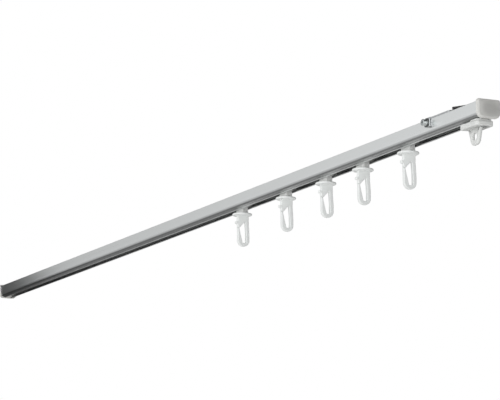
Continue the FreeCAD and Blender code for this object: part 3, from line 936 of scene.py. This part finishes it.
class TRACK_OT_end_stop(bpy.types.Operator):
    """Shapes the end stop: plate, saddle and eyelet, and finishes its nut and screw"""

    bl_idname = "track.end_stop"
    bl_label = "End Stop"

    def execute(self, context):
        low, high = STOP_LOW / MM, STOP_HIGH / MM
        half = high.y
        thickness = 4.4
        bottom = LIP_UNDERSIDE - 6.1
        top = bottom + thickness
        inside = top - 1.0
        under_rail = RAIL_LOW.z / MM - 0.1
        saddle_start = 42.0
        screw_place, seat_radius = 49.6, 2.35
        bm = bmesh.new()
        plan = [
            (low.x, -half, 1.6, 6),
            (high.x, -half, 3.0, 8),
            (high.x, half, 3.0, 8),
            (low.x, half, 1.6, 6),
        ]
        slab(bm, plan, at_height(bottom), UP * thickness * MM, 0.45, 4, end_rounding=0.25)
        underside = min(bm.faces, key=lambda face: face.calc_center_median().z)
        seat = circle(screw_place, 0, seat_radius, 8)
        sink(bm, underside, seat, at_height(bottom), UP * 1.6 * MM)
        back = half - 1.5
        saddle = [
            (saddle_start, -half, 1.6, 6),
            (high.x, -half, 3.0, 8),
            (high.x, back, 3.0, 8),
            (saddle_start, back, 1.6, 6),
        ]
        slab(bm, saddle, at_height(inside), UP * (under_rail - inside) * MM, 0.35, 3)
        block(bm, (low.x + 1.2, -half + 1.2, inside), (low.x + 5.0, half - 1.2, top + 1.0), 0.4, 3)
        block(bm, (saddle_start, -4.0, inside), (saddle_start + 10.0, 4.0, under_rail + 2.0), 0.4, 3)
        self.eyelet(bm, bottom, low.z)
        finish_piece("end_stop_shape", bm, milky_stop(), "track", ["end_stop_body"], 40.0)
        repaint("end_stop_nut", milky_stop())
        repaint("end_stop_screw", bright_zinc())
        return {"FINISHED"}

    def eyelet(self, bm, bottom, lowest):
        """A tongue that narrows downwards, with a long hole whose rims are soft."""
        centre, thickness = 37.6, 3.2
        root = bottom + 1.5
        outer = [
            (centre - 10.7, root, 0.4, 8),
            (centre + 10.7, root, 0.4, 8),
            (centre + 5.6, lowest, 5.2, 8),
            (centre - 5.6, lowest, 5.2, 8),
        ]
        inner = [
            (centre - 3.8, bottom - 4.0, 2.5, 8),
            (centre + 3.8, bottom - 4.0, 2.5, 8),
            (centre + 3.1, lowest + 4.8, 2.3, 8),
            (centre - 3.1, lowest + 4.8, 2.3, 8),
        ]
        start = along_rail(-thickness / 2)
        loops = [outline_loop(bm, corners, start) for corners in (outer, inner)]
        edges = [edge for face in loops for edge in face.edges]
        bmesh.ops.delete(bm, geom=loops, context="FACES_ONLY")
        band = bmesh.ops.bridge_loops(bm, edges=edges)["faces"]
        thicken(bm, band, ACROSS * thickness * MM, 1.2, 5)


class TRACK_OT_bracket_plate(bpy.types.Operator):
    """Presses the bracket plate with its ceiling boss and front tab, and its riveted foot"""

    bl_idname = "track.bracket_plate"
    bl_label = "Bracket Plate"

    def execute(self, context):
        bottom = RAIL_HIGH.z / MM
        top = bottom + SHEET
        outline = [
            (-31.0, -10.3, 1.5, 6),
            (10.0, -10.3, 1.0, 5),
            (10.0, -5.3, 1.0, 5),
            (33.0, -5.3, 1.5, 6),
            (33.0, 5.3, 1.5, 6),
            (10.0, 5.3, 1.0, 5),
            (10.0, 10.3, 1.0, 5),
            (-31.0, 10.3, 1.5, 6),
        ]
        bm = bmesh.new()
        holes = [circle(0, 0, 6.0), circle(LEVER_AXLE, 0, 2.05)]
        pierced(bm, outline, holes, at_height(bottom), UP * SHEET * MM, 0.2, 3)
        boss = [
            (7.6, top, 0.4, 3),
            (6.8, top, 0.8, 4),
            (5.8, 0.0, 0.5, 4),
            (2.25, 0.0, 0.25, 3),
            (2.25, -SHEET, 0.25, 3),
            (4.4, -SHEET, 0.5, 3),
            (5.6, bottom, 0.3, 2),
            (7.6, bottom, 0.0, 0),
        ]
        turned(bm, boss, CEILING_HOLE, steps=64)
        self.tab(bm, bottom, top)
        finish_piece("bracket_pressing", bm, zinc(), "track", ["bracket_plate"], 32.0)
        self.rivets(bottom, top)
        repaint("bracket_foot", zinc())
        return {"FINISHED"}

    def tab(self, bm, bottom, top):
        """The front tab: a strip folded down in front of the rail."""
        outer = RAIL_LOW.y / MM - 0.35 - SHEET
        foot = bottom - 7.0
        start, width = -29.0, 8.0
        section = [
            (-9.0, top, 0.0, 0),
            (outer, top, SHEET, 8),
            (outer, foot, 0.2, 3),
            (outer + SHEET, foot, 0.2, 3),
            (outer + SHEET, bottom, 0.3, 3),
            (-9.0, bottom, 0.0, 0),
        ]
        slab(bm, section, across_rail(start), ALONG * width * MM, 0.18, 3)

    def rivets(self, bottom, top):
        """Two round-headed rivets that hold the foot."""
        bm = bmesh.new()
        shank, tip = 1.25, bottom - 2.9
        seat, crown = top - 0.1, top + 0.8
        profile = [
            (0, tip, 0, 0),
            (shank, tip, 0.1, 2),
            (shank, seat, 0, 0),
            (2.3, seat, 0, 0),
            (2.1, crown, 0.55, 6),
            (0, crown, 0, 0),
        ]
        for place in (-17.0, -11.0):
            turned(bm, profile, (place, 0, 0), steps=32)
        finish_piece("rivet_pair", bm, bright_zinc(), "track", ["foot_rivets"], 32.0)


class TRACK_OT_clamp_screw(bpy.types.Operator):
    """Turns the clamp screw with its flange and cuts the cross recess"""

    bl_idname = "track.clamp_screw"
    bl_label = "Clamp Screw"

    def execute(self, context):
        low, high = SCREW_LOW / MM, SCREW_HIGH / MM
        centre = ((low.x + high.x) / 2, 0, (low.z + high.z) / 2)
        rim, head, flange, shank = 2.3, 3.0, 4.1, 1.5
        face = low.y
        flange_front = face + 3.9
        flange_back = flange_front + 1.0
        hidden = high.y - 0.4
        profile = [
            (rim, face, 0.0, 0),
            (head, face, 0.5, 6),
            (head, flange_front, 0.25, 4),
            (flange, flange_front, 0.3, 4),
            (flange, flange_back, 0.2, 3),
            (shank, flange_back, 0.0, 0),
            (shank, high.y - 0.6, 0.0, 0),
            (0.9, high.y, 0.1, 2),
            (0.0, high.y, 0.0, 0),
            (0.0, hidden, 0.0, 0),
            (rim, hidden, 0.0, 0),
        ]
        bm = bmesh.new()
        self.body(bm, profile, hidden, centre)
        self.recess(bm, centre, face)
        finish_piece("clamp_screw_turned", bm, clamp_zinc(), "clamp", ["clamp_screw"], 32.0)
        return {"FINISHED"}

    def body(self, bm, profile, hidden, centre):
        """Spins the profile, open between the recess and the tip, where its hidden corners are."""
        face = outline_loop(bm, profile, lambda a, b: Vector((a, b, 0)))
        closing = [
            edge
            for edge in face.edges
            if any(abs(vert.co.y - hidden * MM) < 0.001 * MM for vert in edge.verts)
        ]
        bmesh.ops.delete(bm, geom=[face], context="FACES_ONLY")
        bmesh.ops.delete(bm, geom=closing, context="EDGES")
        bmesh.ops.spin(
            bm,
            geom=list(bm.verts) + list(bm.edges),
            cent=Vector(),
            axis=ACROSS,
            angle=math.tau,
            steps=48,
            use_merge=True,
        )
        bmesh.ops.translate(bm, vec=Vector(centre) * MM, verts=bm.verts)

    def recess(self, bm, centre, face):
        """Fills the face round a cross and sinks the cross into the head."""
        long, wide, depth = 1.95, 0.45, 1.5
        cross = [
            (long, -wide), (long, wide), (wide, wide), (wide, long), (-wide, long), (-wide, wide),
            (-long, wide), (-long, -wide), (-wide, -wide), (-wide, -long), (wide, -long), (wide, -wide),
        ]
        rim = [
            edge
            for edge in bm.edges
            if edge.is_boundary and all(abs(vert.co.y - face * MM) < 0.001 * MM for vert in edge.verts)
        ]
        start = outline_loop(
            bm,
            [(a, b, 0.12, 2) for a, b in cross],
            lambda a, b: Vector((a + centre[0] * MM, face * MM, b + centre[2] * MM)),
        )
        bmesh.ops.triangle_fill(bm, edges=rim + list(start.edges), use_beauty=True)
        bmesh.ops.inset_region(bm, faces=[start], thickness=0.06 * MM, depth=0.0)
        middle = Matrix.Translation(-Vector((centre[0], 0, centre[2])) * MM)
        bmesh.ops.translate(bm, vec=ACROSS * depth * MM, verts=start.verts)
        bmesh.ops.scale(bm, vec=Vector((0.8, 1, 0.8)), space=middle, verts=start.verts)


class TRACK_OT_lever(bpy.types.Operator):
    """Moulds the locking lever and shapes the cam that it turns"""

    bl_idname = "track.lever"
    bl_label = "Locking Lever"

    def execute(self, context):
        low, high = LEVER_LOW / MM, LEVER_HIGH / MM
        underside = high.z - 1.6
        bm = bmesh.new()
        hub = [
            (2.0, underside, 0.2, 2),
            (4.4, underside, 0.3, 3),
            (4.4, high.z, 0.35, 4),
            (2.0, high.z, 0.2, 2),
        ]
        turned(bm, hub, (0, 0, 0), steps=48)
        arm = [(1.8, -3.9, 0.0, 0), (14.2, -2.1, 1.6, 6), (14.2, 2.1, 1.6, 6), (1.8, 3.9, 0.0, 0)]
        slab(bm, arm, at_height(underside + 0.02), UP * 1.53 * MM, 0.3, 3)
        tip = [
            (11.7, -2.05, 0.3, 2),
            (14.15, -2.05, 1.5, 6),
            (14.15, 2.05, 1.5, 6),
            (11.7, 2.05, 0.3, 2),
        ]
        slab(bm, tip, at_height(low.z), UP * (high.z - 0.1 - low.z) * MM, 0.3, 3)
        locked_angle = math.radians(218)
        locked = Matrix.Rotation(locked_angle, 3, "Z")
        bmesh.ops.rotate(bm, cent=Vector(), matrix=locked, verts=bm.verts)
        bmesh.ops.translate(bm, vec=ALONG * LEVER_AXLE * MM, verts=bm.verts)
        finish_piece("lever_moulding", bm, black(), "lever", ["bracket_lever"], 36.0)
        self.cam()
        return {"FINISHED"}

    def cam(self):
        """The long cam below the lever and the shaft between them."""
        low, high = (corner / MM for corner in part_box("lever_cam"))
        side, long = (high.x - low.x) / 2, (high.y - low.y) / 2
        radius = side * 0.8
        corners = [
            (-side, -long, radius, 8),
            (side, -long, radius, 8),
            (side, long, radius, 8),
            (-side, long, radius, 8),
        ]
        bm = bmesh.new()
        slab(bm, corners, at_height(low.z), UP * 1.3 * MM, 0.2, 3)
        shaft_low, shaft_high = low.z + 0.4, high.z - 0.04
        shaft = [
            (0, shaft_low, 0, 0),
            (1.98, shaft_low, 0, 0),
            (1.98, shaft_high, 0.25, 3),
            (0, shaft_high, 0, 0),
        ]
        turned(bm, shaft, (0, 0, 0), steps=32)
        bmesh.ops.translate(bm, vec=ALONG * LEVER_AXLE * MM, verts=bm.verts)
        finish_piece("cam_shape", bm, zinc(), "lever", ["lever_cam"], 32.0)


class TRACK_OT_stage(bpy.types.Operator):
    """Sets the pale floor, the soft light and the camera"""

    bl_idname = "track.stage"
    bl_label = "Stage"

    def execute(self, context):
        scene = context.scene
        settings = scene.track_stage
        flat, upright = 0.0, math.pi / 2
        place = (-0.5, 0, -settings.floor_drop)
        self.sheet(scene, "pale_floor", settings.floor, (3.0, 3.0), flat, place, FLOOR_GLOW)
        # The dark surroundings that the far end of the rail mirrors
        near_black, place = (0.02, 0.02, 0.02), (-1.16, -0.044, 0.0)
        flag = self.sheet(scene, "dark_flag", near_black, (0.3, 0.118), upright, place)
        flag.visible_camera = False
        flag.visible_shadow = False
        self.world(scene)
        self.lights(scene)
        camera = bpy.data.cameras.new("photo_camera")
        camera.lens = settings.lens
        camera.sensor_width = 36.0
        camera.clip_end = 50.0
        eye = bpy.data.objects.new("photo_camera", camera)
        scene.collection.objects.link(eye)
        eye.location = settings.camera_place
        eye.rotation_euler = Vector(settings.camera_aim).to_track_quat("-Z", "Y").to_euler()
        scene.camera = eye
        scene.view_settings.view_transform = "Standard"
        return {"FINISHED"}

    def sheet(self, scene, name, colour, size, turn, place, glow=0.0):
        """A flat square of the studio in one rough colour, which may glow a little."""
        bm = bmesh.new()
        bmesh.ops.create_grid(bm, x_segments=2, y_segments=2, size=0.5)
        bmesh.ops.scale(bm, vec=Vector((*size, 1)), verts=bm.verts)
        bmesh.ops.rotate(bm, cent=Vector(), matrix=Matrix.Rotation(turn, 3, "Y"), verts=bm.verts)
        bmesh.ops.translate(bm, vec=Vector(place), verts=bm.verts)
        mesh = bpy.data.meshes.new(name)
        bm.to_mesh(mesh)
        bm.free()
        finish = Finish(name)
        mottle = finish.noise(30.0, detail=2.0)
        mesh.materials.append(
            finish.shade(
                Base_Color=finish.mixed(mottle, darker(colour, 0.01), colour),
                Roughness=0.85,
                Emission_Color=(1.0, 1.0, 1.0, 1.0),
                Emission_Strength=glow,
            )
        )
        piece = bpy.data.objects.new(name, mesh)
        scene.collection.objects.link(piece)
        return piece

    def world(self, scene):
        """White behind the track; the light that falls on it comes from soft regions."""
        world = bpy.data.worlds.new("studio")
        scene.world = world
        world.use_nodes = True
        studio = Nodes(world.node_tree)
        looking = studio.node("ShaderNodeTexCoord").outputs["Generated"]
        strength = EVEN_LIGHT
        for direction, edge, full, brightness in SOFT_LIGHTS:
            strength = studio.fade(studio.along(looking, direction), edge, full) * brightness + strength
        lit = world.node_tree.nodes["Background"]
        studio.feed(lit.inputs["Color"], (0.985, 0.995, 1.0, 1))
        studio.feed(lit.inputs["Strength"], strength)
        shown = studio.node("ShaderNodeBackground", {}, {"Color": (1, 1, 1, 1), "Strength": 1.0})
        seen = studio.node("ShaderNodeLightPath").outputs["Is Camera Ray"]
        mix = studio.node("ShaderNodeMixShader", {}, {0: seen, 1: lit.outputs[0], 2: shown.outputs[0]})
        studio.feed(world.node_tree.nodes["World Output"].inputs["Surface"], mix.outputs[0])

    def lights(self, scene):
        """A weak wide lamp on the room side, above the track."""
        lamp = bpy.data.lights.new("soft_key", "AREA")
        lamp.shape = "RECTANGLE"
        lamp.size, lamp.size_y = 1.2, 0.8
        lamp.energy = 4.0
        place = Vector((-0.2, -2.0, 1.2))
        target = Vector((-0.3, 0, 0))
        holder = bpy.data.objects.new("soft_key", lamp)
        scene.collection.objects.link(holder)
        holder.location = place
        holder.rotation_euler = (target - place).to_track_quat("-Z", "Y").to_euler()


class TRACK_PT_pieces(bpy.types.Panel):
    """Lists the pieces of the curtain track"""

    bl_idname = "TRACK_PT_pieces"
    bl_label = "Curtain Track"
    bl_space_type = "VIEW_3D"
    bl_region_type = "UI"
    bl_category = "Curtain Track"

    def draw(self, context):
        column = self.layout.column(align=True)
        for operator in STEPS:
            column.operator(operator.bl_idname)


STEPS = (
    TRACK_OT_rail,
    TRACK_OT_end_caps,
    TRACK_OT_runners,
    TRACK_OT_hooks,
    TRACK_OT_end_stop,
    TRACK_OT_bracket_plate,
    TRACK_OT_clamp_screw,
    TRACK_OT_lever,
    TRACK_OT_stage,
)
SETTINGS = {
    "track_finishes": TrackFinishes,
    "track_rail_sizes": TrackRailSizes,
    "track_glider_sizes": TrackGliderSizes,
    "track_stage": TrackStageSettings,
}


def register():
    for name, group in SETTINGS.items():
        bpy.utils.register_class(group)
        setattr(bpy.types.Scene, name, bpy.props.PointerProperty(type=group))
    for operator in STEPS:
        bpy.utils.register_class(operator)
    bpy.utils.register_class(TRACK_PT_pieces)


def unregister():
    bpy.utils.unregister_class(TRACK_PT_pieces)
    for operator in reversed(STEPS):
        bpy.utils.unregister_class(operator)
    for name, group in reversed(SETTINGS.items()):
        delattr(bpy.types.Scene, name)
        bpy.utils.unregister_class(group)


def main():
    register()
    bpy.ops.track.rail()
    bpy.ops.track.end_caps()
    bpy.ops.track.runners()
    bpy.ops.track.hooks()
    bpy.ops.track.end_stop()
    bpy.ops.track.bracket_plate()
    bpy.ops.track.clamp_screw()
    bpy.ops.track.lever()
    bpy.ops.track.stage()


if __name__ == "__main__":
    main()
